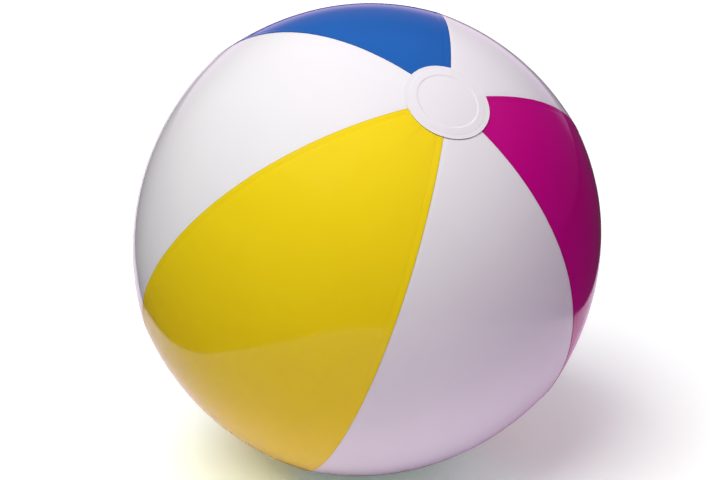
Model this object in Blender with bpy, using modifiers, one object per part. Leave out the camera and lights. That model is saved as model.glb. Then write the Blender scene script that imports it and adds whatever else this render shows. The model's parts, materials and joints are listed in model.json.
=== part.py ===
"""An inflatable beach ball: six welded film gores, an end disc over each pole, and a pop-out air valve.

Metres, +Z up. The origin is the point on the floor under the ball's centre. The ball lies with its
polar axis tilted back from the vertical, resting on the middle of one white gore.

Polar frame (under the empty "polar_frame"): +Z is the pole on the upper side. A latitude is counted
from that pole, and an azimuth from -Y towards +X.
Valve frame (under "valve_frame"): +Z points out of the ball and the origin is on the film.
"""

import math

import bpy
from mathutils import Vector

# The ball
RADIUS = 0.200
TILT = math.radians(39.4)
RIDGE = 0.0172          # rise from mid-gore to seam at the equator, as a share of the radius
RIDGE_FADE = 4          # power of sin(latitude) by which the ridges fade towards the poles
STRETCH_2 = 0.0119      # second zonal harmonic of the radius
STRETCH_4 = -0.0118     # fourth zonal harmonic of the radius
FOOT_DEPTH = 0.0016     # how far the floor presses the film in
FOOT_LATITUDE = math.pi - TILT

# The film
FILM = 0.00025
CLEAR = 0.0003          # gap between pieces that touch on the real ball
MERGE = 0.00001         # points nearer than this are one point where a turned piece closes
GORES = ("white", "magenta", "white", "blue", "white", "yellow")
GORE_COUNT = len(GORES)
HALF_GORE = math.pi / GORE_COUNT
LAP = 0.0025            # half the width of a lap seam
JOG = 0.0020            # width of the step that takes a white gore under its neighbours
ROWS = 31
PLAIN_COLUMNS = 7       # columns of points across a gore, between its seams
FOOT_COLUMNS = 11       # the same on the gore that stands on the floor
SEAM_COLUMNS = 3        # columns of points across each lap seam

# The end discs
DISC_RADIUS = 0.0347
GORE_HOLE_RADIUS = 0.0245
DISC_FILM = 0.0004
DISC_LIFT = 0.0005      # height of a disc's underside over the gores
DISC_RINGS = 5
TURNS = 24

# The valve, in its own frame
VALVE_LATITUDE = math.radians(140)
VALVE_AZIMUTH = math.pi
VALVE_HOLE_RADIUS = 0.0100
FLANGE_INNER, FLANGE_OUTER = 0.0093, 0.0165
FLANGE_THICK = 0.0008
FLANGE_DROP = 0.0010    # depth of the flange's top face under the film's outer face
SKIRT_TOP_RADIUS, SKIRT_TOP_Z = 0.0089, -0.0014
SKIRT_FOOT_RADIUS, SKIRT_FOOT_Z = 0.0061, -0.0112
SKIRT_THICK = 0.0005
SKIRT_BENDS = 6
STEM_RADIUS, BORE_RADIUS = 0.00475, 0.0030
STEM_TOP, STEM_FOOT = 0.0032, -0.0115
FOOT_FLARE_RADIUS, FOOT_FLARE_HEIGHT = 0.0053, 0.0009
RIM_ROUND = 0.0004
PLUG_HEAD_RADIUS, PLUG_HEAD_THICK = 0.00525, 0.0016
NOSE_TOP_RADIUS, NOSE_TIP_RADIUS, NOSE_LENGTH = 0.0026, 0.0020, 0.0050
TAB_WIDTH, TAB_THICK, TAB_REACH = 0.0044, 0.0012, 0.0088
HINGE_X, HINGE_DROP = -0.0075, 0.0020
STRAP_WIDTH, STRAP_THICK = 0.0036, 0.0010
LUG_REACH = 0.0064
FLAP_RADIUS, FLAP_THICK = 0.0042, 0.0006
FLAP_HINGE_X = 0.0047


def clear_scene():
    for item in list(bpy.data.objects):
        bpy.data.objects.remove(item)


def collection(name):
    made = bpy.data.collections.new(name)
    bpy.context.scene.collection.children.link(made)
    return made


clear_scene()
BALL = collection("inflatable_beach_ball")
CUTTERS = collection("cutters")


def material(name, color, roughness):
    made = bpy.data.materials.new(name)
    made.use_nodes = True
    shader = made.node_tree.nodes["Principled BSDF"]
    shader.inputs["Base Color"].default_value = (*color, 1)
    shader.inputs["Roughness"].default_value = roughness
    shader.inputs["Metallic"].default_value = 0
    return made


FILM_COLORS = {
    "white": (0.86, 0.85, 0.86),
    "magenta": (0.32, 0.004, 0.14),
    "blue": (0.02, 0.11, 0.45),
    "yellow": (0.82, 0.55, 0.01),
}
FILM_ROUGHNESS = 0.2
VINYL_COLOR = (0.80, 0.82, 0.80)
VINYL_ROUGHNESS = 0.3


def add_object(name, mesh, parent, look):
    """An object for a mesh, with its own material, placed under a parent empty."""
    mesh.materials.append(material(name, *look))
    mesh.shade_smooth()
    made = bpy.data.objects.new(name, mesh)
    BALL.objects.link(made)
    made.parent = parent
    return made


def empty(name, parent=None, location=(0, 0, 0), rotation=(0, 0, 0)):
    made = bpy.data.objects.new(name, None)
    BALL.objects.link(made)
    made.parent = parent
    made.location = location
    made.rotation_euler = rotation
    return made


def solidify(item, thickness):
    """Thickens an open surface inwards."""
    shell = item.modifiers.new("thickness", "SOLIDIFY")
    shell.thickness = thickness
    shell.offset = -1
    shell.use_even_offset = True


# ---------------------------------------------------------------- shape of the ball


def ball_radius(latitude, azimuth):
    """Distance from the centre to the film's outer face: raised at the seams, lowest at mid-gore."""
    across = ((azimuth + HALF_GORE) % (2 * HALF_GORE) - HALF_GORE) / HALF_GORE
    cosine = math.cos(latitude)
    ridge = RIDGE * math.sin(latitude) ** RIDGE_FADE * (across**2 - 1 / 3)
    second = STRETCH_2 * (3 * cosine**2 - 1) / 2
    fourth = STRETCH_4 * (35 * cosine**4 - 30 * cosine**2 + 3) / 8
    return RADIUS * (1 + ridge + second + fourth)


CENTRE_HEIGHT = ball_radius(FOOT_LATITUDE, 0) - FOOT_DEPTH
DOWN = Vector((0, -math.sin(TILT), -math.cos(TILT)))   # the floor's direction in the polar frame


def direction(latitude, azimuth):
    return Vector((
        math.sin(latitude) * math.sin(azimuth),
        -math.sin(latitude) * math.cos(azimuth),
        math.cos(latitude),
    ))


def on_ball(latitude, azimuth, inset=0.0):
    """A point of the film, sunk by inset, and pressed flat where the floor holds it up."""
    point = direction(latitude, azimuth) * (ball_radius(latitude, azimuth) - inset)
    below = point.dot(DOWN) - (CENTRE_HEIGHT - inset)
    if below > 0:
        point -= below * DOWN
    return point


def grid_mesh(name, rows):
    """A quad grid through rows of points."""
    width = len(rows[0])
    faces = []
    for i in range(len(rows) - 1):
        for j in range(width - 1):
            corner = i * width + j
            faces.append((corner, corner + width, corner + width + 1, corner + 1))
    mesh = bpy.data.meshes.new(name)
    mesh.from_pydata([tuple(p) for row in rows for p in row], [], faces)
    return mesh


def gore_columns(latitude, columns):
    """Azimuths across a gore from its middle: lap seam, step, plain film, step and lap seam."""
    lap = LAP / (RADIUS * math.sin(latitude))
    step = JOG / (RADIUS * math.sin(latitude))
    plain = HALF_GORE - lap - step
    inner = [plain * (2 * k / (columns - 1) - 1) for k in range(columns)]
    edge = [HALF_GORE + lap * (2 * k / (SEAM_COLUMNS - 1) - 1) for k in range(SEAM_COLUMNS)]
    return [-a for a in reversed(edge)] + inner + edge


def gore(name, index, under):
    """One pole-to-pole panel of film. A white one steps down to pass under its neighbours."""
    first = math.asin(GORE_HOLE_RADIUS / RADIUS)
    last = math.pi - first
    middle = index * 2 * HALF_GORE
    columns = FOOT_COLUMNS if index == 0 else PLAIN_COLUMNS
    rows = []
    for i in range(ROWS + 1):
        latitude = first + (last - first) * i / ROWS
        offsets = gore_columns(latitude, columns)
        row = []
        for j, offset in enumerate(offsets):
            in_lap = j < SEAM_COLUMNS or j >= len(offsets) - SEAM_COLUMNS
            inset = FILM + CLEAR if under and in_lap else 0.0
            row.append(on_ball(latitude, middle + offset, inset))
        rows.append(row)
    made = add_object(name, grid_mesh(name, rows), POLAR, (FILM_COLORS[GORES[index]], FILM_ROUGHNESS))
    solidify(made, FILM)
    return made


def turned(name, parent, outline, look, thickness=0.0):
    """A solid of revolution about the parent's Z, from (radius, height) points down its outer side.

    With a thickness the outline is an open line, and the piece is a shell of that thickness inside it.
    """
    edges = [(k, k + 1) for k in range(len(outline) - 1)]
    if not thickness and outline[0][0] > 0:
        edges.append((len(outline) - 1, 0))
    mesh = bpy.data.meshes.new(name)
    mesh.from_pydata([(r, 0, z) for r, z in outline], edges, [])
    made = add_object(name, mesh, parent, look)
    screw = made.modifiers.new("turn", "SCREW")
    screw.steps = screw.render_steps = TURNS
    screw.use_merge_vertices = True
    screw.merge_threshold = MERGE
    if thickness:
        solidify(made, thickness)
    return made


def end_disc(name, turn, color):
    """A film disc over one pole, welded to the six gore ends: a turned dome."""
    dome = []
    for k in range(DISC_RINGS + 1):
        latitude = math.asin(DISC_RADIUS / RADIUS) * k / DISC_RINGS
        reach = ball_radius(latitude, HALF_GORE) + DISC_LIFT + DISC_FILM
        dome.append((reach * math.sin(latitude), reach * math.cos(latitude)))
    made = turned(name, POLAR, dome, (FILM_COLORS[color], FILM_ROUGHNESS), DISC_FILM)
    made.rotation_euler = (turn, 0, 0)


# ---------------------------------------------------------------- the ball's film


POLAR = empty("polar_frame", location=(0, 0, CENTRE_HEIGHT), rotation=(TILT, 0, 0))

NUMBERED = {"white": iter(("gore_white_front", "gore_white_right", "gore_white_left"))}
gores = {}
for index, color in enumerate(GORES):
    label = next(NUMBERED["white"]) if color == "white" else "gore_" + color
    gores[label] = gore(label, index, under=color == "white")

end_disc("end_disc_top", 0, "white")
end_disc("end_disc_bottom", math.pi, "white")

# ---------------------------------------------------------------- the valve

valve_place = direction(VALVE_LATITUDE, VALVE_AZIMUTH) * ball_radius(VALVE_LATITUDE, VALVE_AZIMUTH)
VALVE = empty("valve_frame", POLAR, valve_place, (-VALVE_LATITUDE, 0, VALVE_AZIMUTH - math.pi))
VINYL = (VINYL_COLOR, VINYL_ROUGHNESS)


def as_cutter(name, parent, location):
    """Names the primitive just added and moves it to the cutters."""
    made = bpy.context.object
    made.name = made.data.name = name
    for other in list(made.users_collection):
        other.objects.unlink(made)
    CUTTERS.objects.link(made)
    made.parent = parent
    made.location = location
    made.hide_render = True
    made.display_type = "WIRE"
    return made


def cylinder(name, radius, low, high, parent, at=(0, 0)):
    """An upright cylinder between two heights, for cutting or joining."""
    bpy.ops.mesh.primitive_cylinder_add(vertices=TURNS, radius=radius, depth=high - low)
    return as_cutter(name, parent, (*at, (low + high) / 2))


def box(name, low, high, parent):
    """A box between two corners, for cutting or joining."""
    bpy.ops.mesh.primitive_cube_add(size=1)
    made = as_cutter(name, parent, [(a + b) / 2 for a, b in zip(low, high)])
    for vertex in made.data.vertices:
        vertex.co = [v * (b - a) for v, a, b in zip(vertex.co, low, high)]
    return made


def combine(item, tool, operation):
    cut = item.modifiers.new(operation.lower(), "BOOLEAN")
    cut.operation = operation
    cut.solver = "EXACT"
    cut.object = tool


def sag(radius):
    """How far the ball's surface falls away from the valve's plane at a distance from its axis."""
    return radius**2 / (2 * RADIUS)


hole = cylinder("cut_valve_hole", VALVE_HOLE_RADIUS, -VALVE_HOLE_RADIUS, VALVE_HOLE_RADIUS, VALVE)
combine(gores["gore_blue"], hole, "DIFFERENCE")

flange_radii = (FLANGE_INNER, (FLANGE_INNER + FLANGE_OUTER) / 2, FLANGE_OUTER)
flange_top = [(r, -FLANGE_DROP - sag(r)) for r in flange_radii]
turned("valve_flange", VALVE, flange_top, VINYL, FLANGE_THICK)


def skirt_line():
    """The rolled skirt's outer line: down from the flange, and in towards the stem's foot."""
    points = []
    for k in range(SKIRT_BENDS + 1):
        share = k / SKIRT_BENDS
        bend = (1 - math.cos(math.pi * share)) / 2
        radius = SKIRT_TOP_RADIUS + (SKIRT_FOOT_RADIUS - SKIRT_TOP_RADIUS) * bend
        points.append((radius, SKIRT_TOP_Z + (SKIRT_FOOT_Z - SKIRT_TOP_Z) * share))
    return points


turned("valve_skirt", VALVE, skirt_line(), VINYL, SKIRT_THICK)

stem_outline = [
    (BORE_RADIUS, STEM_TOP - RIM_ROUND),
    (BORE_RADIUS + RIM_ROUND, STEM_TOP),
    (STEM_RADIUS - RIM_ROUND, STEM_TOP),
    (STEM_RADIUS, STEM_TOP - RIM_ROUND),
    (STEM_RADIUS, STEM_FOOT + FOOT_FLARE_HEIGHT),
    (FOOT_FLARE_RADIUS, STEM_FOOT + FOOT_FLARE_HEIGHT),
    (FOOT_FLARE_RADIUS, STEM_FOOT),
    (BORE_RADIUS, STEM_FOOT),
]
STEM = empty("stem_axis", VALVE)
stem = turned("valve_stem", STEM, stem_outline, VINYL)
lug_middle = STEM_TOP - HINGE_DROP
lug = box(
    "join_strap_lug",
    (-LUG_REACH, -STRAP_WIDTH / 2, lug_middle - STRAP_THICK / 2),
    (-(BORE_RADIUS + STEM_RADIUS) / 2, STRAP_WIDTH / 2, lug_middle + STRAP_THICK / 2),
    STEM,
)
combine(stem, lug, "UNION")

# The plug and its strap turn on the strap's living hinge.
PLUG = empty("plug_hinge", STEM, (HINGE_X, 0, STEM_TOP - HINGE_DROP))
PLUG_AXIS = empty("plug_axis", PLUG, (-HINGE_X, 0, HINGE_DROP))
head_low = CLEAR
head_high = head_low + PLUG_HEAD_THICK
plug_outline = [
    (0, head_high),
    (PLUG_HEAD_RADIUS - RIM_ROUND, head_high),
    (PLUG_HEAD_RADIUS, head_high - RIM_ROUND),
    (PLUG_HEAD_RADIUS, head_low),
    (NOSE_TOP_RADIUS, head_low),
    (NOSE_TIP_RADIUS, -NOSE_LENGTH),
    (0, -NOSE_LENGTH),
]
plug = turned("valve_plug", PLUG_AXIS, plug_outline, VINYL)
tab_low, tab_high = head_low + CLEAR / 2, head_low + CLEAR / 2 + TAB_THICK
tab_middle = TAB_REACH - TAB_WIDTH / 2
tab = box(
    "join_tab",
    (PLUG_HEAD_RADIUS / 2, -TAB_WIDTH / 2, tab_low),
    (tab_middle, TAB_WIDTH / 2, tab_high),
    PLUG_AXIS,
)
tab_end = cylinder("join_tab_end", TAB_WIDTH / 2, tab_low, tab_high, PLUG_AXIS, (tab_middle, 0))
combine(plug, tab, "UNION")
combine(plug, tab_end, "UNION")


def flat_piece(name, parent, outline, width, look):
    """An outline in the parent's XZ plane, extruded evenly to both sides along Y."""
    curve = bpy.data.curves.new(name, "CURVE")
    curve.dimensions = "2D"
    curve.fill_mode = "BOTH"
    curve.extrude = width / 2
    line = curve.splines.new("POLY")
    line.points.add(len(outline) - 1)
    for point, (x, z) in zip(line.points, outline):
        point.co = (x, z, 0, 1)
    line.use_cyclic_u = True
    curve.materials.append(material(name, *look))
    made = bpy.data.objects.new(name, curve)
    BALL.objects.link(made)
    made.parent = parent
    made.rotation_euler = (math.pi / 2, 0, 0)
    return made


# The strap: a leg that rises from the hinge, and an arm that reaches in to the plug's head.
strap_inner, strap_outer = STRAP_THICK / 2, -STRAP_THICK / 2
arm_low, arm_high = HINGE_DROP + tab_low, HINGE_DROP + tab_high
arm_end = -HINGE_X - PLUG_HEAD_RADIUS - CLEAR
strap_outline = [
    (strap_outer, strap_outer),
    (strap_inner, strap_outer),
    (strap_inner, arm_low),
    (arm_end, arm_low),
    (arm_end, arm_high),
    (strap_inner, arm_high),
    (strap_outer, arm_low),
]
flat_piece("plug_strap", PLUG, strap_outline, STRAP_WIDTH, VINYL)

# The check flap hangs from one side of the stem's foot and opens into the ball.
FLAP = empty("flap_hinge", STEM, (FLAP_HINGE_X, 0, STEM_FOOT - CLEAR - FLAP_THICK / 2))
FLAP_AXIS = empty("flap_axis", FLAP, (-FLAP_HINGE_X, 0, 0))
flap_outline = [
    (0, FLAP_THICK / 2),
    (FLAP_RADIUS, FLAP_THICK / 2),
    (FLAP_RADIUS, -FLAP_THICK / 2),
    (0, -FLAP_THICK / 2),
]
flap = turned("check_flap", FLAP_AXIS, flap_outline, VINYL)
ear = box(
    "join_flap_ear",
    (FLAP_RADIUS / 2, -FLAP_RADIUS / 3, -FLAP_THICK / 2),
    (FLAP_HINGE_X + FLAP_THICK / 2, FLAP_RADIUS / 3, FLAP_THICK / 2),
    FLAP_AXIS,
)
combine(flap, ear, "UNION")
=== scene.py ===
"""The looks of the inflatable beach ball: fine film gores with lap seams, end discs and the valve."""
import json
import math

import bmesh
import bpy
import numpy as np
from mathutils import Matrix, Vector


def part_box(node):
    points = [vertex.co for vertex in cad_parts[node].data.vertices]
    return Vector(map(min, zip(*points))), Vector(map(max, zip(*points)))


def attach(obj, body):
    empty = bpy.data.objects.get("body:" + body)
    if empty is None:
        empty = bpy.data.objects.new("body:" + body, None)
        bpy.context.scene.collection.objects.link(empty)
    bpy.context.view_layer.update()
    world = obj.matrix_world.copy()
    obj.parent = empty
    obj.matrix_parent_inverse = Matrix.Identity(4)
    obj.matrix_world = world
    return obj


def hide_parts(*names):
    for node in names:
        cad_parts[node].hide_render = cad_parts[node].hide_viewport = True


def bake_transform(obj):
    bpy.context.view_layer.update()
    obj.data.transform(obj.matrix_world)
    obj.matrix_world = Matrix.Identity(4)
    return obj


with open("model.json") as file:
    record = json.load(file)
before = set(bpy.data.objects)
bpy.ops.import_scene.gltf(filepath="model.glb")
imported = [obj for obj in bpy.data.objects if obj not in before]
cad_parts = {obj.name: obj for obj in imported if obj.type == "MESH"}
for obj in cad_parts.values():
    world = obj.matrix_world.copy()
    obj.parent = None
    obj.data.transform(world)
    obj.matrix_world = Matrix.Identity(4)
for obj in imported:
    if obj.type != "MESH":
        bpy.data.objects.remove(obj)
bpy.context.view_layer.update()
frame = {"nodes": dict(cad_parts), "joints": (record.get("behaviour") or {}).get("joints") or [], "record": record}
nodes = frame["nodes"]
joints = {j["name"]: j for j in frame["joints"]}

# ------------------------------------------------------------------ the ball's shape, as in the CAD

MM = 0.001
GORE_COUNT = 6
HALF_GORE = math.pi / GORE_COUNT
RIDGE = 0.0172          # rise from mid-gore to seam at the equator, as a share of the radius
RIDGE_FADE = 4          # power of sin(latitude) by which the ridges fade towards the poles
STRETCH_2 = 0.0119      # second zonal harmonic of the radius
STRETCH_4 = -0.0118     # fourth zonal harmonic of the radius
# The gores in their order round the upper pole, with their material slots.
GORES = (
    ("gore_white_front", "white_film"),
    ("gore_magenta", "magenta_film"),
    ("gore_white_right", "white_film"),
    ("gore_blue", "blue_film"),
    ("gore_white_left", "white_film"),
    ("gore_yellow", "yellow_film"),
)
FILM = 0.25 * MM
LAP = 2.5 * MM          # how far the white film runs on under the coloured film
OVERHANG = 0.3 * MM     # how far the coloured film's cut edge passes the seam line
WELD = 5 * MM           # width of the welded band, on the coloured side of the line
DISC_RADIUS = 34.7 * MM
DISC_FILM = 0.4 * MM
GORE_HOLE = 24.5 * MM   # radius of the hole that the gore ends leave at a pole
VALVE_HOLE = 10 * MM    # radius
FLANGE_EDGE = 16.5 * MM
TO_FILM = 0.6 * MM      # the flange is this much taller than the CAD's, to meet the film
CUT_ANGLE = math.radians(35)    # a sharper fold than this is a cut edge of the film


def points_of(node):
    """A CAD node's points."""
    return np.array([v.co for v in nodes[node].data.vertices])


def unit(v):
    """The same direction with length 1."""
    return v / np.linalg.norm(v)


def zonal(latitude):
    """The radius without its seam ridges, as a share of the mean radius."""
    c = np.cos(latitude)
    return 1 + STRETCH_2 * (3 * c**2 - 1) / 2 + STRETCH_4 * (35 * c**4 - 30 * c**2 + 3) / 8


def middle_of(*names):
    """The mean of the nodes' own mean points."""
    return sum(points_of(name).mean(0) for name in names) / len(names)


def across(way, axis):
    """The unit vector along way, made square to axis."""
    return unit(way - way @ axis * axis)


def mean_radius():
    """The radius that the seams' highest point gives by the shape's formula."""
    latitude = np.linspace(0.2, math.pi - 0.2, 400)
    seam_share = zonal(latitude) + RIDGE * np.sin(latitude) ** RIDGE_FADE * 2 / 3
    return np.linalg.norm(points_of("gore_yellow") - CENTRE, axis=1).max() / seam_share.max()


CENTRE = (middle_of("end_disc_top") + middle_of("end_disc_bottom")) / 2
POLE = unit(middle_of("end_disc_top") - middle_of("end_disc_bottom"))
RIGHT_HALF, LEFT_HALF = ("gore_magenta", "gore_white_right"), ("gore_yellow", "gore_white_left")
SIDE = across(middle_of(*RIGHT_HALF) - middle_of(*LEFT_HALF), POLE)
FRONT = np.cross(SIDE, POLE)
RADIUS = mean_radius()
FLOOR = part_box("gore_white_front")[0].z


def direction(latitude, azimuth):
    """Unit vectors in the row frame. Azimuth is counted from the front gore's middle."""
    latitude, azimuth = np.broadcast_arrays(latitude, azimuth)
    flat = np.cos(azimuth)[..., None] * FRONT + np.sin(azimuth)[..., None] * SIDE
    return np.sin(latitude)[..., None] * flat + np.cos(latitude)[..., None] * POLE


def waves(at, seed, knots=4096):
    """Smooth noise along a line, from -1 to 1, with a new random value at each whole number."""
    values = np.random.default_rng(seed).uniform(-1, 1, knots)
    whole = np.floor(at).astype(int)
    part = at - whole
    part = part * part * (3 - 2 * part)
    return values[whole % knots] * (1 - part) + values[(whole + 1) % knots] * part


def step(low, high, value):
    """0 below low, 1 above high and smooth between."""
    t = np.clip((value - low) / (high - low), 0, 1)
    return t * t * (3 - 2 * t)


# Ripples at the seams. Each has a length along the seam, a reach to the side and a height.
SEAM_RIPPLE = (11 * MM, 7 * MM, 0.07 * MM)
SIDE_RIPPLE = (9 * MM, 7 * MM, 0.10 * MM)
BROAD_RIPPLE = (24 * MM, 20 * MM, 0.16 * MM)
CALM_LENGTH = 55 * MM   # along a seam, rippled and calm stretches come by turns of about this length


def hump(distance, peak):
    """0 at the seam, 1 at peak from it, and fading away beyond."""
    return distance / peak * np.exp(1 - distance / peak)


def puckers(latitude, inside, seam, way):
    """Small ripples across a seam. Its weld is a little shorter than the film beside it."""
    along = latitude * RADIUS
    calm = 0.35 + 0.65 * step(-0.2, 0.7, waves(along / CALM_LENGTH, 10 + seam))
    length, reach, height = SEAM_RIPPLE
    common = waves(along / length, 20 + seam) * np.exp(-((inside / reach) ** 2)) * height
    length, reach, height = SIDE_RIPPLE
    own = waves(along / length, 40 + 2 * seam + way) * hump(np.abs(inside), reach) * height
    length, reach, height = BROAD_RIPPLE
    broad = waves(along / length, 70 + 2 * seam + way) * hump(np.abs(inside), reach) * height
    return calm * np.sin(latitude) ** 0.5 * (common + own + broad)


POLE_RIPPLES = 34       # waves round an end disc
POLE_RIPPLE_HEIGHT = 0.12 * MM


def pole_ripples(latitude, azimuth):
    """Soft radial ripples where six gore ends are drawn in under an end disc."""
    out = np.minimum(latitude, math.pi - latitude) * RADIUS
    ring = step(30 * MM, 40 * MM, out) * np.exp(-np.maximum(out - 36 * MM, 0) / (20 * MM))
    turn = azimuth / (2 * math.pi) % 1 * POLE_RIPPLES
    ripple = np.where(latitude < math.pi / 2, waves(turn, 5, POLE_RIPPLES), waves(turn, 6, POLE_RIPPLES))
    return ripple * ring * POLE_RIPPLE_HEIGHT


TUCK_GAP = 0.03 * MM    # between the two films of a lap
PINCH = 0.10 * MM       # depth of the dent beside the cut edge, in the white film
WELD_LINE = 0.12 * MM   # depth of the line at the weld's inner edge, in the coloured film
LAP_PRINT = 0.10 * MM   # rise of the coloured film over the white film's edge
CREASE = 2 * MM         # half the width over which a seam's ridge is rounded


def seam_ripples(latitude, off_middle, inside, gore):
    """The ripples of a gore's two seams, each on its own side of the gore's middle."""
    total = 0
    for way, seam in ((0, gore), (1, (gore - 1) % GORE_COUNT)):
        here = puckers(latitude, inside, seam, way)
        beyond = puckers(latitude, inside, seam, 1 - way)
        # Past the seam line the ripples are those of the gore on the other side.
        own = np.where(inside >= 0, here, beyond)
        total = total + np.where((off_middle < 0) == bool(way), own, 0)
    return total


def film_point(latitude, azimuth, gore, under):
    """How far a gore's outer face is from the centre. under is true for the film below at the laps."""
    off_middle = azimuth - gore * 2 * HALF_GORE
    wide = RADIUS * np.sin(latitude)
    inside = (HALF_GORE - np.abs(off_middle)) * wide
    rounded = inside**2 / (2 * CREASE) + CREASE / 2
    softened = np.where(np.abs(inside) < CREASE, rounded, np.abs(inside))
    x = 1 - softened / (HALF_GORE * wide)
    ridge = RIDGE * np.sin(latitude) ** RIDGE_FADE * (x**2 - 1 / 3)
    reach = RADIUS * (zonal(latitude) + ridge)
    reach = reach + seam_ripples(latitude, off_middle, inside, gore) + pole_ripples(latitude, azimuth)
    if under:
        tucked = 1 - step(-0.2 * MM, 1.2 * MM, inside)
        pinch = PINCH * np.exp(-(((inside - 1.6 * MM) / (0.9 * MM)) ** 2))
        return reach - tucked * (FILM + TUCK_GAP) - pinch
    weld_edge = WELD_LINE * np.exp(-(((inside - WELD) / (0.5 * MM)) ** 2))
    lap_print = LAP_PRINT * (1 - step(LAP - 0.4 * MM, LAP + 0.6 * MM, inside))
    return reach + lap_print - weld_edge


def pressed(points):
    """Flattens what the floor presses on."""
    points[..., 2] = np.maximum(points[..., 2], FLOOR)
    return points


def graded(limits, fine, coarse):
    """Numbers from the first limit to the last, spaced coarse and fine by turns between limits."""
    made = [np.array([limits[0]])]
    for k, (low, high) in enumerate(zip(limits[:-1], limits[1:])):
        spacing = fine if k % 2 else coarse
        made.append(np.linspace(low, high, max(2, round((high - low) / spacing) + 1))[1:])
    return np.concatenate(made)


def grid_object(name, points, flip=False):
    """A quad mesh through a rows x columns x 3 array."""
    rows, columns = points.shape[:2]
    i, j = np.meshgrid(np.arange(rows - 1), np.arange(columns - 1), indexing="ij")
    first = (i * columns + j).ravel()
    quads = np.stack([first, first + columns, first + columns + 1, first + 1], axis=1)
    if flip:
        quads = quads[:, ::-1]
    mesh = bpy.data.meshes.new(name)
    mesh.from_pydata(points.reshape(-1, 3).tolist(), [], quads.tolist())
    mesh.shade_smooth()
    made = bpy.data.objects.new(name, mesh)
    bpy.context.scene.collection.objects.link(made)
    return made


def applied(item, modifier):
    """Makes a modifier's result the object's own mesh."""
    bpy.context.view_layer.objects.active = item
    bpy.ops.object.modifier_apply(modifier=modifier)


def thickened(item, thickness):
    """Gives a sheet its thickness, inwards, with crisp cut edges."""
    shell = item.modifiers.new("film", "SOLIDIFY")
    shell.thickness = thickness
    shell.offset = -1
    shell.use_even_offset = False
    applied(item, "film")
    item.data.set_sharp_from_angle(angle=CUT_ANGLE)
    return item


# ------------------------------------------------------------------ the valve's place

VALVE_AXIS = unit(np.array(joints["valve_pop"]["axis"]))
VALVE_DIRECTION = unit(middle_of("valve_flange") - CENTRE)
VALVE_LATITUDE = math.acos(VALVE_DIRECTION @ POLE)
VALVE_REACH = RADIUS * (zonal(VALVE_LATITUDE) - RIDGE / 3 * math.sin(VALVE_LATITUDE) ** RIDGE_FADE)
VALVE_POINT = CENTRE + VALVE_DIRECTION * VALVE_REACH
FLAP_WAY = np.array(joints["flap_open"]["pos_m"]) - np.array(joints["plug_swing"]["pos_m"])
VALVE_X = across(FLAP_WAY, VALVE_AXIS)
VALVE_Y = np.cross(VALVE_AXIS, VALVE_X)
VALVE_AXES = np.column_stack([VALVE_X, VALVE_Y, VALVE_AXIS, VALVE_POINT])
VALVE_FRAME = Matrix(VALVE_AXES.tolist() + [[0, 0, 0, 1]])
VALVE_ZONE = 19 * MM    # round the valve, the blue gore's mesh is fine as far out as this


def mark(item, name, values):
    """A number for each point of a mesh, for its material to read."""
    attribute = item.data.attributes.new(name, "FLOAT", "POINT")
    attribute.data.foreach_set("value", values.astype(np.float32).ravel())


FINE, COARSE = 0.5 * MM, 2.2 * MM       # spacing of a gore's rows, at the valve and elsewhere
SEAM_ZONE, SEAM_COLUMNS = 7 * MM, 22    # the close columns along each seam
PLAIN_COLUMNS = 39                      # the columns between them
VALVE_COLUMNS, SIDE_COLUMNS = 77, 14    # on the blue gore: at the valve, and on each side of it


def gore_rows(with_valve):
    """Latitudes of a gore's rows, from one end disc to the other."""
    first = math.asin(GORE_HOLE / RADIUS)
    limits = [first, math.pi - first]
    if with_valve:
        spread = VALVE_ZONE / RADIUS
        limits[1:1] = [VALVE_LATITUDE - spread, VALVE_LATITUDE + spread]
    return graded(limits, FINE / RADIUS, COARSE / RADIUS)[:, None]


def gore_columns(wide, under, with_valve):
    """Angles across a gore from its middle, for rows whose distances from the polar axis are wide."""
    at_seam = np.linspace(-LAP if under else -OVERHANG, SEAM_ZONE, SEAM_COLUMNS)[None, :] / wide
    plain_half = HALF_GORE - SEAM_ZONE / wide
    if with_valve:
        near = np.minimum(VALVE_ZONE / (plain_half * wide), 0.6)
        at_valve = np.linspace(-1, 1, VALVE_COLUMNS)[None, :] * near
        beside = -1 + (1 - near) * np.linspace(0, 1, SIDE_COLUMNS + 2)[1:-1][None, :]
        inner = np.concatenate([beside, at_valve, -beside[:, ::-1]], axis=1)
    else:
        shares = np.linspace(-1, 1, PLAIN_COLUMNS + 2)[1:-1]
        inner = np.broadcast_to(shares[None, :], (len(wide), PLAIN_COLUMNS))
    return np.concatenate([at_seam - HALF_GORE, inner * plain_half, (HALF_GORE - at_seam)[:, ::-1]], axis=1)


def gore_object(index, name):
    """One gore as fine film: denser at its seams, and at the valve on the gore that carries it."""
    under = name.startswith("gore_white")
    with_valve = name == "gore_blue"
    latitude = gore_rows(with_valve)
    wide = RADIUS * np.sin(latitude)
    off_middle = gore_columns(wide, under, with_valve)
    azimuth = index * 2 * HALF_GORE + off_middle
    reach = film_point(latitude, azimuth, index, under)
    points = CENTRE + direction(latitude, azimuth) * reach[..., None]
    if with_valve:
        points = flange_print(points)
    made = grid_object(name + "_film", pressed(points))
    inside = (HALF_GORE - np.abs(off_middle)) * wide
    # Mask for painted shade along the coloured film's cut edge; the white film gets none.
    mark(made, "cut_edge_shade", np.zeros_like(inside) if under else 1 - step(0.1 * MM, 0.6 * MM, inside))
    return thickened(made, FILM)


PRINT_RISE = 0.30 * MM          # the flange's weld stands this far out of the film
PRINT_DROP = 0.05 * MM          # the film beside the hole, and the ribs, lie this much lower
RIB_ZONE = (12 * MM, 15 * MM)   # the ribs lie between these distances from the valve's axis
RIB_PITCH, RIB_DEPTH = 1.3 * MM, 0.13 * MM


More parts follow.
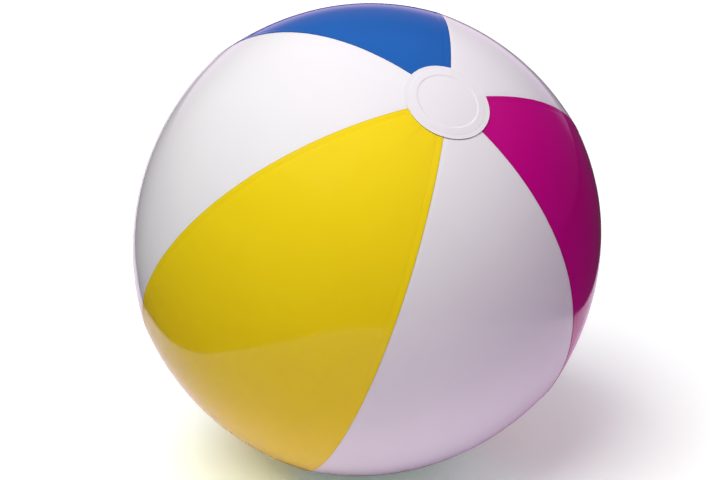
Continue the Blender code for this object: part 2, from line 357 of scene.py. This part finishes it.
def flange_print(points):
    """The weld of the valve's flange, printed through the film: a raised disc with concentric ribs."""
    local = points - VALVE_POINT
    flat_x, flat_y = local @ VALVE_X, local @ VALVE_Y
    out = np.hypot(flat_x, flat_y)
    turn = np.arctan2(flat_y, flat_x)
    rise = PRINT_RISE * step(VALVE_HOLE, VALVE_HOLE + 2 * MM, out)
    rise = rise * (1 - step(FLANGE_EDGE - 0.6 * MM, FLANGE_EDGE + 0.8 * MM, out))
    rise = rise - PRINT_DROP * (out < FLANGE_EDGE)
    inner, outer = RIB_ZONE
    ring = step(inner - 0.6 * MM, inner, out) * (1 - step(outer, outer + 0.6 * MM, out))
    ribs = 0.5 + 0.5 * np.cos((out - (inner + outer) / 2) / RIB_PITCH * 2 * math.pi)
    uneven = 0.8 + 0.2 * np.cos(3 * turn + 1) * np.cos(7 * turn)
    dip = ring * (PRINT_DROP + RIB_DEPTH * ribs) * uneven
    return points + (rise - dip)[..., None] * VALVE_AXIS


# ------------------------------------------------------------------ materials


class Look:
    """A node material with a Principled shader and short helpers for its texture nodes."""

    def __init__(self, name):
        self.material = bpy.data.materials.new(name)
        self.material.use_nodes = True
        self.tree = self.material.node_tree
        self.shader = self.tree.nodes["Principled BSDF"]
        self.place = self.tree.nodes.new("ShaderNodeTexCoord").outputs["Object"]

    def node(self, kind, **inputs):
        """A new shader node. An input's value may be a number, a colour or another node's socket."""
        made = self.tree.nodes.new(kind)
        for key, value in inputs.items():
            self.put(made.inputs[key.replace("_", " ")], value)
        return made

    def put(self, socket, value):
        """Links a socket to the value's own, or sets it to a plain value."""
        if isinstance(value, bpy.types.NodeSocket):
            self.tree.links.new(value, socket)
        else:
            socket.default_value = value

    def noise(self, scale, detail=2.0, rough=0.5, distortion=0.0):
        """Noise fixed to the object, with about scale patches to the metre."""
        made = self.node("ShaderNodeTexNoise", Vector=self.place, Scale=scale, Detail=detail)
        made.inputs["Roughness"].default_value = rough
        made.inputs["Distortion"].default_value = distortion
        return made.outputs["Fac"]

    def ramp(self, value, low, high, out_low, out_high):
        """Stretches value's range from low..high to out_low..out_high."""
        made = self.tree.nodes.new("ShaderNodeMapRange")
        self.put(made.inputs["Value"], value)
        numbers = (low, high, out_low, out_high)
        for key, number in zip(("From Min", "From Max", "To Min", "To Max"), numbers):
            made.inputs[key].default_value = number
        return made.outputs["Result"]

    def mix(self, share, a, b):
        """Colour a where share is 0 and b where it is 1."""
        made = self.tree.nodes.new("ShaderNodeMix")
        made.data_type = "RGBA"
        self.put(made.inputs["Factor"], share)
        self.put(made.inputs["A"], a)
        self.put(made.inputs["B"], b)
        return made.outputs["Result"]

    def bump(self, height, distance, strength=1.0, before=None):
        """A relief up to distance metres high, on top of the relief before it."""
        made = self.node("ShaderNodeBump", Height=height, Distance=distance, Strength=strength)
        if before is not None:
            self.put(made.inputs["Normal"], before)
        return made.outputs["Normal"]


def darker(color, share):
    """A node colour at a share of the given colour's brightness."""
    return (*[c * share for c in color], 1)


def film_look(name, color, deep, roughness=0.07):
    """Glossy soft vinyl film: faint mottling, orange peel, slack waves and a few dull rubbed patches."""
    look = Look(name)
    # The colour drifts between two tones, with a few fine specks in the vinyl and painted shade along the cut
    # edge.
    mottle = look.ramp(look.noise(9, 3), 0.3, 0.7, 0, 1)
    base = look.mix(mottle, (*color, 1), (*deep, 1))
    specks = look.ramp(look.noise(900, 1), 0.70, 0.78, 0, 0.10)
    base = look.mix(specks, base, darker(deep, 0.8))
    # Painted shade: the coloured film is darker within about half a millimetre of its cut edge.
    edge = look.node("ShaderNodeAttribute")
    edge.attribute_name = "cut_edge_shade"
    base = look.mix(edge.outputs["Fac"], base, darker(deep, 0.85))
    look.put(look.shader.inputs["Base Color"], base)
    rubbed = look.ramp(look.noise(22, 4, 0.6, 0.4), 0.52, 0.72, roughness, roughness + 0.05)
    look.put(look.shader.inputs["Roughness"], rubbed)
    slack = look.bump(look.noise(28, 1), 0.6 * MM, 0.10)
    peel = look.bump(look.noise(420, 2), 0.12 * MM, 0.08, slack)
    look.put(look.shader.inputs["Normal"], peel)
    look.shader.inputs["IOR"].default_value = 1.28
    return look.material


def vinyl_look(name, color):
    """Milky moulded soft vinyl: waxy, with light spreading under its satin skin."""
    look = Look(name)
    cloud = look.ramp(look.noise(90, 2), 0.3, 0.7, 0, 1)
    base = look.mix(cloud, (*color, 1), darker(color, 0.975))
    look.put(look.shader.inputs["Base Color"], base)
    look.put(look.shader.inputs["Roughness"], look.ramp(look.noise(300, 2), 0.3, 0.7, 0.27, 0.33))
    look.put(look.shader.inputs["Normal"], look.bump(look.noise(1500, 1), 0.01 * MM, 0.10))
    look.shader.inputs["IOR"].default_value = 1.50
    look.shader.inputs["Subsurface Weight"].default_value = 0.6
    look.shader.inputs["Subsurface Radius"].default_value = (3 * MM, 3 * MM, 3 * MM)
    look.shader.inputs["Subsurface Scale"].default_value = 1.0
    return look.material


# Each film has two tones. The node colours are linear.
LOOKS = {
    "white_film": film_look("white_film_look", (0.80, 0.80, 0.81), (0.77, 0.77, 0.79)),
    "magenta_film": film_look("magenta_film_look", (0.53, 0.001, 0.235), (0.50, 0.001, 0.20)),
    "blue_film": film_look("blue_film_look", (0.010, 0.115, 0.43), (0.008, 0.105, 0.39)),
    "yellow_film": film_look("yellow_film_look", (0.87, 0.67, 0.009), (0.84, 0.63, 0.009)),
    "valve_vinyl": vinyl_look("valve_vinyl_look", (0.88, 0.89, 0.88)),
}
# Every CAD node gets its look too, since the check flap stays in sight from inside the ball.
for entry in frame["record"]["subparts"]:
    materials = nodes[entry["node"]].data.materials
    materials.clear()
    materials.append(LOOKS[entry["material_slot"]])


def dress(piece, slot, replaced, body="ball"):
    """Gives a piece its look, hides the CAD node it stands for and, unless body is None, hangs it on its body."""
    piece.data.materials.append(LOOKS[slot])
    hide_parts(replaced)
    if body:
        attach(piece, body)


# ------------------------------------------------------------------ the film


def valve_hole(gore):
    """Cuts the round hole through which the valve sinks into the ball."""
    bpy.ops.mesh.primitive_cylinder_add(vertices=128, radius=VALVE_HOLE, depth=30 * MM)
    cutter = bpy.context.object
    cutter.name = "valve_hole_cutter"
    cutter.matrix_world = VALVE_FRAME
    hole = gore.modifiers.new("valve_hole", "BOOLEAN")
    hole.operation = "DIFFERENCE"
    hole.solver = "EXACT"
    hole.object = cutter
    applied(gore, "valve_hole")
    gore.data.set_sharp_from_angle(angle=CUT_ANGLE)
    bpy.data.objects.remove(cutter)


for index, (name, slot) in enumerate(GORES):
    gore = gore_object(index, name)
    if name == "gore_blue":
        valve_hole(gore)
    dress(gore, slot, name)


DISC_LIFT = 0.32 * MM       # the disc's weld over the gores, above the film between their ends
DISC_SEAM_LIFT = 0.12 * MM  # more where it crosses a seam
DISC_SINK = 0.05 * MM       # of the film inside the ring of gore ends
WELD_RING = 31.5 * MM       # radius of the groove that the welding die leaves
DISC_LIP = 0.10 * MM        # rise of the disc's cut edge
DISC_WAVES, DISC_WAVE_HEIGHT = 15, 0.07 * MM
DISC_TURNS = 192            # columns of faces round a disc


def disc_relief(out, turn, seed):
    """How far a disc's face stands off the ball's smooth shape, at a distance from the pole."""
    at_seam = np.exp((np.cos(GORE_COUNT * (turn - HALF_GORE)) - 1) * 6)
    on_gores = step(GORE_HOLE - 0.5 * MM, GORE_HOLE + 0.9 * MM, out)
    lift = on_gores * (DISC_LIFT + DISC_SEAM_LIFT * at_seam) - DISC_SINK * (1 - on_gores)
    groove = np.exp(-(((out - WELD_RING) / (0.6 * MM)) ** 2)) * 0.10 * MM
    swell = np.exp(-(((out - 20 * MM) / (7 * MM)) ** 2)) * DISC_WAVE_HEIGHT
    wobble = waves(turn / (2 * math.pi) * DISC_WAVES, seed, DISC_WAVES) * swell
    lip = step(DISC_RADIUS - 1.1 * MM, DISC_RADIUS, out) * DISC_LIP
    return lift - groove + wobble + lip


def end_disc(name, pole_side):
    """The film disc over a pole, with the gore ends' edge showing through it as a ring."""
    out = graded([0.0, GORE_HOLE - 3 * MM, DISC_RADIUS], 0.25 * MM, 1.2 * MM)[:, None]
    turn = np.linspace(0, 2 * math.pi, DISC_TURNS + 1)[None, :]
    latitude = out / RADIUS
    if pole_side < 0:
        latitude = math.pi - latitude
    reach = RADIUS * zonal(latitude) + pole_ripples(latitude, turn)
    reach = reach + disc_relief(out, turn, 8 + pole_side) + DISC_FILM
    points = CENTRE + direction(latitude, turn) * reach[..., None]
    made = grid_object(name + "_film", points, flip=pole_side < 0)
    join_points(made)
    thickened(made, DISC_FILM)
    dress(made, "white_film", name)


def join_points(item):
    """Welds the points where a turned grid closes on itself."""
    work = bmesh.new()
    work.from_mesh(item.data)
    bmesh.ops.remove_doubles(work, verts=work.verts, dist=0.01 * MM)
    work.to_mesh(item.data)
    work.free()
    item.data.shade_smooth()


end_disc("end_disc_top", 1)
end_disc("end_disc_bottom", -1)

# ------------------------------------------------------------------ the valve

NEAR = 0.1 * MM             # CAD points this close to an edge count as the edge's own
SKIRT_THICK = 0.5 * MM
PLEATS, PLEAT_HEIGHT = 9, 0.14 * MM
STEM_LIP = 0.35 * MM        # how far the stem's lip stands out from its neck
FLARE_HEIGHT = 0.9 * MM     # of the flare at the stem's foot
TAB_HALF = 2.2 * MM         # half the pull tab's width
TAB_RIDGE, TAB_RIDGE_PITCH = 0.09 * MM, 0.9 * MM
STRAP_TURN = 1.0 * MM       # radius of the strap's two bends
LATHE_TURNS, BAND_TURNS = 144, 48   # columns of faces round a turned piece, and round a strap


def valve_points(node):
    """A CAD node's points in the valve's frame, in columns x, y, z and distance from the axis."""
    local = points_of(node) - VALVE_POINT
    x, y, z = local @ VALVE_X, local @ VALVE_Y, local @ VALVE_AXIS
    return np.column_stack([x, y, z, np.hypot(x, y)])


def in_valve(x, y, z):
    """Row-frame points for coordinates in the valve's frame."""
    return VALVE_POINT + x[..., None] * VALVE_X + y[..., None] * VALVE_Y + z[..., None] * VALVE_AXIS


def rounded_loop(outline, radius, steps=5):
    """A closed (distance, height) outline with its corners rounded off."""
    made = []
    for before, corner, after in zip(outline[-1:] + outline[:-1], outline, outline[1:] + outline[:1]):
        corner = np.array(corner)
        to_before, to_after = np.array(before) - corner, np.array(after) - corner
        cut = min(radius, 0.45 * np.linalg.norm(to_before), 0.45 * np.linalg.norm(to_after))
        start, end = corner + unit(to_before) * cut, corner + unit(to_after) * cut
        for t in np.linspace(0, 1, steps):
            made.append((1 - t) ** 2 * start + 2 * t * (1 - t) * corner + t**2 * end)
    return np.array(made)


def lathe(name, outline, ripple=None):
    """A solid turned about the valve's axis from a closed outline of (distance, height) points."""
    line = np.vstack([outline, outline[:1]])
    turn = np.linspace(0, 2 * math.pi, LATHE_TURNS + 1)[None, :]
    out, high = line[:, 0][:, None] + 0 * turn, line[:, 1][:, None] + 0 * turn
    if ripple is not None:
        out = out + ripple(turn, high)
    made = grid_object(name, in_valve(out * np.cos(turn), out * np.sin(turn), high))
    join_points(made)
    outward(made)
    return made


def outward(item):
    """Turns every face of a closed mesh to look out."""
    work = bmesh.new()
    work.from_mesh(item.data)
    bmesh.ops.recalc_face_normals(work, faces=work.faces)
    work.to_mesh(item.data)
    work.free()
    item.data.shade_smooth()


def band(name, middle, half_width, half_thick):
    """A strap along a line of (x, z) points, with a rounded flat section of given half sizes."""
    middle = np.array(middle)
    along = np.gradient(middle, axis=0)
    along /= np.linalg.norm(along, axis=1, keepdims=True)
    up = np.column_stack([-along[:, 1], along[:, 0]])
    turn = np.linspace(0, 2 * math.pi, BAND_TURNS + 1)
    # A superellipse: flat faces with round edges.
    wide = np.sign(np.cos(turn)) * np.abs(np.cos(turn)) ** 0.35
    thick = np.sign(np.sin(turn)) * np.abs(np.sin(turn)) ** 0.6
    half_width = np.broadcast_to(half_width, len(middle))
    half_thick = np.broadcast_to(half_thick, len(middle))
    rise = half_thick[:, None] * thick[None, :]
    x = middle[:, 0][:, None] + rise * up[:, 0][:, None]
    z = middle[:, 1][:, None] + rise * up[:, 1][:, None]
    y = half_width[:, None] * wide[None, :]
    ring = in_valve(x, y, z)
    caps = [np.repeat(end.mean(1, keepdims=True), ring.shape[1], 1) for end in (ring[:1], ring[-1:])]
    made = grid_object(name, np.concatenate([caps[0], ring, caps[1]]))
    join_points(made)
    outward(made)
    return made


def melted(name, items, voxel, passes):
    """Joins overlapping solids into one moulded skin with small soft fillets."""
    for item in bpy.context.selected_objects:
        item.select_set(False)
    for item in items:
        item.select_set(True)
    bpy.context.view_layer.objects.active = items[0]
    bpy.ops.object.join()
    made = bpy.context.object
    made.name = made.data.name = name
    skin = made.modifiers.new("skin", "REMESH")
    skin.mode = "VOXEL"
    skin.voxel_size = voxel
    applied(made, "skin")
    smooth = made.modifiers.new("smooth", "SMOOTH")
    smooth.factor = 0.5
    smooth.iterations = passes
    applied(made, "smooth")
    made.data.shade_smooth()
    return made


def valve_flange():
    """The moulded flange, raised to meet the film it is welded to. Its inner lip shows in the hole."""
    cad = valve_points("valve_flange")
    inner, outer = cad[:, 3].min(), cad[:, 3].max()
    at_hole = cad[cad[:, 3] < inner + NEAR, 2]
    at_edge = cad[cad[:, 3] > outer - NEAR, 2]
    outline = [
        (inner, at_hole.min()),
        (inner, at_hole.max() + TO_FILM),
        (outer, at_edge.max() + TO_FILM),
        (outer, at_edge.min()),
    ]
    made = lathe("valve_flange_moulding", rounded_loop(outline, 0.35 * MM))
    dress(made, "valve_vinyl", "valve_flange")


def valve_skirt():
    """The thin rolled skirt that lets the stem sink into the ball, with soft pleats."""
    cad = valve_points("valve_skirt")
    top, foot = cad[:, 2].max(), cad[:, 2].min()
    wide = cad[cad[:, 2] > top - 3 * NEAR, 3].max()
    narrow = cad[cad[:, 2] < foot + 3 * NEAR, 3].max()
    share = np.linspace(0, 1, 60)
    outer = narrow + (wide - narrow) * (1 + np.cos(math.pi * share)) / 2
    high = top + (foot - top) * share
    # It is moulded in one with the flange above and the stem below, so its ends run on into them.
    in_flange, flange_z = wide + 0.9 * MM, top + 0.15 * MM
    in_stem = narrow - 1.6 * MM
    # The inner face stops two points short of the foot, inside the stem's flare.
    inner_face = np.column_stack([outer - SKIRT_THICK, high])[::-1][2:]
    outline = np.vstack([
        [(in_flange, flange_z)],
        np.column_stack([outer, high]),
        [(in_stem, foot), (in_stem, foot + SKIRT_THICK)],
        inner_face,
        [(in_flange, flange_z + SKIRT_THICK)],
    ])

    def pleats(turn, z):
        """How far the skirt's wall moves out, most at half its depth."""
        middle = np.sin(math.pi * np.clip((top - z) / (top - foot), 0, 1))
        return PLEAT_HEIGHT * middle * np.cos(PLEATS * turn + 0.7 * np.sin(2 * turn))

    made = lathe("valve_skirt_roll", outline, pleats)
    dress(made, "valve_vinyl", "valve_skirt", body=None)
    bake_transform(made)


def valve_stem():
    """The mouthpiece: a tube with a rounded lip, a thicker and flared foot and the strap's lug."""
    cad = valve_points("valve_stem")
    top, foot = cad[:, 2].max(), cad[:, 2].min()
    bore = cad[:, 3].min()
    wide = cad[cad[:, 2] > top - 6 * NEAR, 3].max()
    flare = cad[cad[:, 2] < foot + 2 * NEAR, 3].max()
    lug_reach = -cad[:, 0].min()
    lug = cad[cad[:, 0] < -lug_reach + NEAR]
    lug_middle, lug_thick = lug[:, 2].mean(), np.ptp(lug[:, 2])
    neck = wide - STEM_LIP
    outline = [
        (bore, foot),
        (bore, top),
        (wide, top),
        (wide, top - 1.0 * MM),
        (neck, top - 1.0 * MM),
        (neck, foot + 3.4 * MM),
        (wide, foot + 3.0 * MM),
        (wide, foot + FLARE_HEIGHT),
        (flare, foot + FLARE_HEIGHT),
        (flare, foot),
    ]
    tube = lathe("stem_tube", rounded_loop(outline, 0.3 * MM))
    reach = np.linspace(-(bore + wide) / 2, -lug_reach, 8)
    half_width = np.ptp(lug[:, 1]) / 2
    tongue = band("stem_lug", np.column_stack([reach, np.full(8, lug_middle)]), half_width, lug_thick / 2)
    made = melted("valve_stem_moulding", [tube, tongue], 0.11 * MM, 3)
    dress(made, "valve_vinyl", "valve_stem", body="stem")


def plug_outline(cad, head, under):
    """The plug's turned section: a beaded nose, and a head with a dome and a gate mark's dimple."""
    top, tip = cad[:, 2].max(), cad[:, 2].min()
    nose_tip = cad[cad[:, 2] < tip + NEAR, 3].max()
    nose_top = nose_tip * 1.3
    nose = [(0.0, tip), (nose_tip, tip), (nose_tip + 0.1 * MM, tip + 0.8 * MM)]
    beads = [(nose_top - 0.25 * MM, tip + 1.5 * MM), (nose_top - 0.1 * MM, under - 0.7 * MM)]
    edge = [(nose_top, under), (head, under), (head, top - 0.5 * MM)]
    dome = [(r * head, top - (0.35 * MM) * r**4) for r in (0.95, 0.8, 0.6, 0.4)]
    dimple_floor = top - 0.25 * MM
    dimple = [(0.9 * MM, top), (0.7 * MM, dimple_floor), (0.0, dimple_floor)]
    return nose + beads + edge + dome + dimple


def pull_tab(head, reach, low, high):
    """The plug's tab: a tongue with a half-round end, ridged for the fingers past the head."""
    out = np.linspace(head * 0.5, reach, 40)
    past_round = ((out - reach + TAB_HALF) / TAB_HALF).clip(0)
    half_width = TAB_HALF * np.sqrt(np.clip(1 - past_round**2, 0.001, 1))
    ridges = TAB_RIDGE * np.cos((out - reach) / TAB_RIDGE_PITCH * 2 * math.pi)
    grip = ridges * step(head, head + 0.6 * MM, out)
    line = np.column_stack([out, np.full(len(out), (low + high) / 2)])
    return band("plug_tab", line, half_width, (high - low) / 2 + grip)


def valve_plug():
    """The stopper: a rounded head on a beaded nose, with a grip tab."""
    cad = valve_points("valve_plug")
    away_from_tab = cad[:, 0] < 0
    head = cad[away_from_tab, 3].max()
    under = cad[(cad[:, 3] > head - 2 * NEAR) & away_from_tab, 2].min()
    tab_reach = cad[:, 0].max()
    tab_end = cad[cad[:, 0] > tab_reach - 2 * NEAR]
    body = lathe("plug_body", rounded_loop(plug_outline(cad, head, under), 0.35 * MM))
    tab = pull_tab(head, tab_reach, tab_end[:, 2].min(), tab_end[:, 2].max())
    made = melted("valve_plug_moulding", [body, tab], 0.09 * MM, 3)
    dress(made, "valve_vinyl", "valve_plug", body="plug")


def joint_place(name):
    """A joint's place in the valve's frame."""
    local = np.array(joints[name]["pos_m"]) - VALVE_POINT
    return local @ VALVE_X, local @ VALVE_Y, local @ VALVE_AXIS


def strap_line(hinge_x, hinge_z):
    """The strap's middle line: out from the lug, up round the hinge and over to the plug's head."""
    cad = valve_points("plug_strap")
    lug_x = valve_points("valve_stem")[:, 0].min()
    arm_x = cad[:, 0].max()
    arm_z = cad[cad[:, 0] > arm_x - NEAR, 2].mean()
    middle_x = hinge_x + STRAP_TURN
    line = [(x, hinge_z) for x in np.linspace(lug_x + 0.5 * MM, middle_x, 8)]
    for turn in np.linspace(-math.pi / 2, -math.pi, 12):
        x, z = STRAP_TURN * math.cos(turn), STRAP_TURN * math.sin(turn)
        line.append((middle_x + x, hinge_z + STRAP_TURN + z))
    for turn in np.linspace(math.pi, math.pi / 2, 12):
        x, z = STRAP_TURN * math.cos(turn), STRAP_TURN * math.sin(turn)
        line.append((middle_x + x, arm_z - STRAP_TURN + z))
    line += [(x, arm_z) for x in np.linspace(middle_x, arm_x + 0.5 * MM, 10)[1:]]
    line = np.array(line)
    # Two points at one place would leave the band without a direction there.
    apart = np.linalg.norm(np.diff(line, axis=0), axis=1) > 0.01 * MM
    return line[np.concatenate([[True], apart])]


def plug_strap():
    """The strap from the stem's lug to the plug's head, thinned to a living hinge where it turns."""
    hinge_x, _, hinge_z = joint_place("plug_swing")
    line = strap_line(hinge_x, hinge_z)
    along = np.concatenate([[0], np.cumsum(np.linalg.norm(np.diff(line, axis=0), axis=1))])
    from_hinge = np.abs(line - (hinge_x, hinge_z)).sum(1)
    thinning = np.exp(-((from_hinge / (0.8 * MM)) ** 2))
    half_width = (1.8 - 0.25 * np.sin(math.pi * along / along[-1])) * MM
    half_thick = (0.44 - 0.16 * thinning) * MM
    made = band("plug_strap_band", line, half_width, half_thick)
    dress(made, "valve_vinyl", "plug_strap", body=None)
    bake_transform(made)


valve_flange()
valve_skirt()
valve_stem()
valve_plug()
plug_strap()

# ------------------------------------------------------------------ stage, light and camera

VIEW_AZIMUTH, VIEW_ELEVATION = math.radians(-29.2), math.radians(20.2)
VIEW_DISTANCE = 7.27 * RADIUS
VIEW_LENS = 85.0
AIM_SIDE = -5.3 * MM    # the ball sits this far right of the middle
AIM_UP = 0.3 * MM       # and this far below it
RIGHT_WAY = np.array([math.cos(VIEW_AZIMUTH), math.sin(VIEW_AZIMUTH), 0])
FRONT_WAY = np.array([math.sin(VIEW_AZIMUTH), -math.cos(VIEW_AZIMUTH), 0])
FOOT = np.array([CENTRE[0], CENTRE[1], FLOOR])

FLOOR_COLOR = (0.93, 0.95, 0.935)
FLOOR_LIFT = (0.16, 0.22, 0.17)     # the light that the floor gives off itself
LIFT_FROM, LIFT_TO = 1.2, 4.0       # over these distances it grows to the white of the wall
FLOOR_SIZE = 15                     # metres from the ball to the floor's edge
WALL_LIGHT = 0.8
CEILING_LIGHT = 0.36
ROOM_LIGHT = 0.07
ROOM_TINT = (1.0, 0.70, 1.05)
LIGHT_DISTANCE = 4.5


def plain_look(name, color, roughness):
    """A plain matt material."""
    made = bpy.data.materials.new(name)
    made.use_nodes = True
    shader = made.node_tree.nodes["Principled BSDF"]
    shader.inputs["Base Color"].default_value = (*color, 1)
    shader.inputs["Roughness"].default_value = roughness
    return made


def floor_look():
    """Pale floor, lifted a little so that shadows stay soft, and more with distance, to meet the wall."""
    look = Look("floor_look")
    away = look.node("ShaderNodeVectorMath")
    away.operation = "DISTANCE"
    look.put(away.inputs[0], look.place)
    look.put(away.inputs[1], tuple(FOOT))
    far = look.ramp(away.outputs["Value"], LIFT_FROM, LIFT_TO, 0, 1)
    look.put(look.shader.inputs["Emission Color"], look.mix(far, (*FLOOR_LIFT, 1), (1, 1, 1, 1)))
    look.shader.inputs["Emission Strength"].default_value = 1.0
    look.shader.inputs["Base Color"].default_value = (*FLOOR_COLOR, 1)
    look.shader.inputs["Roughness"].default_value = 0.6
    return look.material


def paper_outline():
    """The edge of a roll of white paper: an oval front, and straight sides that run back to the wall."""
    half_wide, front, middle, forward, back_length = 0.39, 0.66, 0.075, 0.10, 4.0
    turn = np.linspace(0, math.pi, 65)
    side = middle + half_wide * np.cos(turn)
    ahead = forward + front * np.sin(turn)
    straight = np.linspace(0, 1, 24)[1:] ** 2 * back_length
    swing = -0.2 * straight     # the straight sides veer to the left as they run back
    side = np.concatenate([side, side[-1] + swing, side[0] + swing[::-1], side[:1]])
    ahead = np.concatenate([ahead, forward - straight, (forward - straight)[::-1], ahead[:1]])
    return FOOT + side[:, None] * RIGHT_WAY + ahead[:, None] * FRONT_WAY


def circle_like(outline, distance):
    """The same number of points, in the same directions from the ball's foot, on a circle."""
    spread = outline - FOOT
    return FOOT + spread / np.linalg.norm(spread, axis=1, keepdims=True) * distance


def floor_ring(name, inner, outer, height, material):
    """A flat band of the floor between two outlines, each given as points around the ball."""
    made = grid_object(name, np.array([inner, outer]) + (0, 0, height))
    made.data.materials.append(material)
    return made


def studio_floor():
    """One pale floor for the camera, and white paper in a dark room for reflections and bounced light."""
    paper = paper_outline()
    middle, far = circle_like(paper, 0.1 * MM), circle_like(paper, FLOOR_SIZE)
    # Each of the three lies a little below the one before, so that no two share a plane.
    pale_floor = floor_ring("pale_floor", middle, far, -0.2 * MM, floor_look())
    pale_floor.visible_glossy = False
    pale_floor.visible_diffuse = False
    pale_floor.visible_shadow = False
    paper_look = plain_look("paper_look", (0.95, 0.85, 0.98), 0.6)
    white_paper = floor_ring("white_paper", middle, paper, -0.6 * MM, paper_look)
    # Painted shade: a dark sheet beyond the paper, hidden from the camera, stands in for a dim room in reflections
    # and bounced light.
    room_look = plain_look("dark_room_look", (0.03, 0.026, 0.032), 0.9)
    dark_room = floor_ring("dark_room", paper, far, -1.0 * MM, room_look)
    for sheet in (white_paper, dark_room):
        sheet.visible_camera = False
        sheet.visible_shadow = False
        sheet.visible_transmission = False


def world_light():
    """The studio: dark around the camera, a white wall behind the ball and a bright ceiling."""
    world = bpy.data.worlds.new("studio")
    bpy.context.scene.world = world
    world.use_nodes = True
    tree = world.node_tree
    tree.nodes.clear()

    def add(kind, operation=None, inputs=()):
        """A new node. Each input is its number with a value or another node's socket."""
        made = tree.nodes.new(kind)
        if operation:
            made.operation = operation
        for index, value in inputs:
            if isinstance(value, bpy.types.NodeSocket):
                tree.links.new(value, made.inputs[index])
            else:
                made.inputs[index].default_value = value
        return made

    def ranged(value, low, high, out_low, out_high):
        """A smooth change from out_low to out_high as value goes from low to high."""
        numbers = [(1, low), (2, high), (3, out_low), (4, out_high)]
        made = add("ShaderNodeMapRange", None, [(0, value)] + numbers)
        made.interpolation_type = "SMOOTHSTEP"
        return made.outputs[0]

    place = add("ShaderNodeTexCoord").outputs["Generated"]
    high = add("ShaderNodeSeparateXYZ", None, [(0, place)]).outputs["Z"]
    toward_wall = add("ShaderNodeVectorMath", "DOT_PRODUCT", [(0, place), (1, tuple(-FRONT_WAY))])
    wall = ranged(toward_wall.outputs["Value"], 0.78, 0.97, 0.0, WALL_LIGHT)
    fading = ranged(high, 0.0, 0.30, 1.0, 0.25)
    wall = add("ShaderNodeMath", "MULTIPLY", [(0, wall), (1, fading)]).outputs[0]
    ceiling = ranged(high, 0.35, 1.0, 0.0, CEILING_LIGHT)
    total = add("ShaderNodeMath", "ADD", [(0, wall), (1, ceiling)]).outputs[0]
    total = add("ShaderNodeMath", "ADD", [(0, total), (1, ROOM_LIGHT)]).outputs[0]
    lit = add("ShaderNodeBackground", None, [(0, (*ROOM_TINT, 1)), (1, total)])
    seen = add("ShaderNodeBackground", None, [(0, (1, 1, 1, 1)), (1, 1.0)])
    camera_ray = add("ShaderNodeLightPath").outputs["Is Camera Ray"]
    mix = add("ShaderNodeMixShader", None, [(0, camera_ray), (1, lit.outputs[0]), (2, seen.outputs[0])])
    add("ShaderNodeOutputWorld", None, [(0, mix.outputs[0])])


def back_vector(azimuth, elevation):
    """The direction from the ball towards a viewer at these angles, in radians."""
    flat = math.cos(elevation)
    return Vector((math.sin(azimuth) * flat, -math.cos(azimuth) * flat, math.sin(elevation)))


def photo_camera():
    """The camera, at the photo's angle and distance."""
    back = back_vector(VIEW_AZIMUTH, VIEW_ELEVATION)
    right = Vector(RIGHT_WAY)
    up = back.cross(right)
    camera = bpy.data.objects.new("camera", bpy.data.cameras.new("camera"))
    bpy.context.scene.collection.objects.link(camera)
    camera.data.lens = VIEW_LENS
    camera.data.sensor_width = 36
    camera.location = Vector(CENTRE) + back * VIEW_DISTANCE + right * AIM_SIDE + up * AIM_UP
    camera.rotation_mode = "QUATERNION"
    camera.rotation_quaternion = (-back).to_track_quat("-Z", "Y")
    bpy.context.scene.camera = camera


def soft_light(name, azimuth, elevation, size, watts, color):
    """A square area light aimed at the ball. Azimuth is counted from the camera's, in degrees."""
    lamp = bpy.data.lights.new(name, "AREA")
    lamp.size = size
    lamp.energy = watts
    lamp.color = color
    made = bpy.data.objects.new(name, lamp)
    bpy.context.scene.collection.objects.link(made)
    way = back_vector(VIEW_AZIMUTH + math.radians(azimuth), math.radians(elevation))
    made.location = Vector(CENTRE) + way * LIGHT_DISTANCE
    made.rotation_mode = "QUATERNION"
    made.rotation_quaternion = (-way).to_track_quat("-Z", "Y")
    made.visible_glossy = False


studio_floor()
world_light()
photo_camera()
soft_light("key", azimuth=-42, elevation=61, size=3.2, watts=216, color=(1.0, 1.04, 0.96))
soft_light("fill", azimuth=66, elevation=30, size=3.4, watts=28, color=(1.0, 0.74, 0.98))
soft_light("back", azimuth=165, elevation=30, size=3.4, watts=42, color=(1.0, 0.95, 1.0))
bpy.context.scene.view_settings.view_transform = "Standard"
